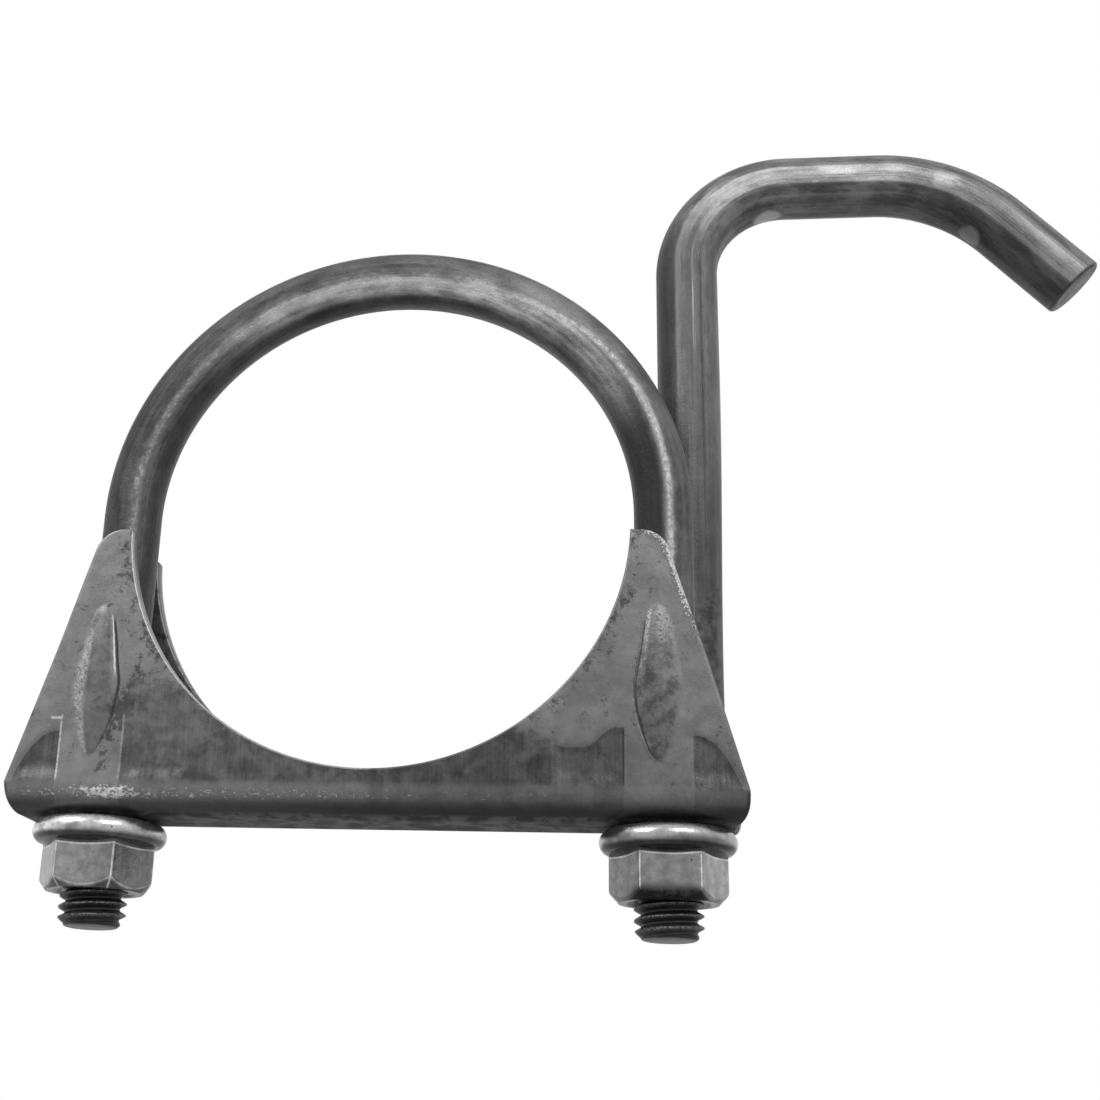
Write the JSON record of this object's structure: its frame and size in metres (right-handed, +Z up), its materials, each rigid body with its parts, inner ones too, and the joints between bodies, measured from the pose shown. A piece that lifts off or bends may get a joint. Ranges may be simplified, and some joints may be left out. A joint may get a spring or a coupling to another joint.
{
  "type": "exhaust hanger bracket",
  "caption": "U-bolt pipe clamp with a folded sheet saddle, flange nuts and a bent round rod welded to its back, which hangs an exhaust pipe from a rubber isolator.",
  "frame": {"origin": "the pipe's axis when the pipe lies in the saddle, halfway across the saddle's width", "axes": "+X from the saddle's middle to the hanger rod, +Y along the pipe to the side of the rod, +Z up, away from the nuts"},
  "size_m": [0.1633, 0.0276, 0.1312],
  "materials": {
    "saddle_steel": "dull mill steel with rub marks, bright sheared edges and worn folds",
    "bolt_steel": "dull drawn steel, near black in the threads",
    "rod_steel": "dull drawn steel with lengthwise streaks and tool marks at the bends",
    "nut_zinc": "bright zinc plate with small pits and shiny edges",
    "weld_steel": "dark weld metal"
  },
  "bodies": {
    "bracket": {"saddle": "saddle_steel", "hanger_rod": "rod_steel", "upper_weld": "weld_steel", "lower_weld": "weld_steel"},
    "clamp_bolt": {"u_bolt": "bolt_steel"},
    "left_nut": {"left_flange_nut": "nut_zinc"},
    "right_nut": {"right_flange_nut": "nut_zinc"}
  },
  "joints": [
    {"name": "bolt_travel", "type": "slide", "parent": "bracket", "child": "clamp_bolt", "axis": [0, 0, 1], "range_m": [-0.00674, 0.00476]},
    {"name": "right_nut_turn", "type": "hinge", "parent": "bracket", "child": "right_nut", "pos_m": [0.0413, 0, -0.04385], "axis": [0, 0, 1], "range_deg": [-1085, 1535]},
    {"name": "left_nut_turn", "type": "hinge", "parent": "bracket", "child": "left_nut", "pos_m": [-0.0398, 0, -0.04385], "axis": [0, 0, 1], "range_deg": [-1085, 1535]}
  ],
  "couplings": [
    {"joint": "right_nut_turn", "follows": "bolt_travel", "rad_per_m": -3957.9},
    {"joint": "left_nut_turn", "follows": "bolt_travel", "rad_per_m": -3957.9}
  ]
}
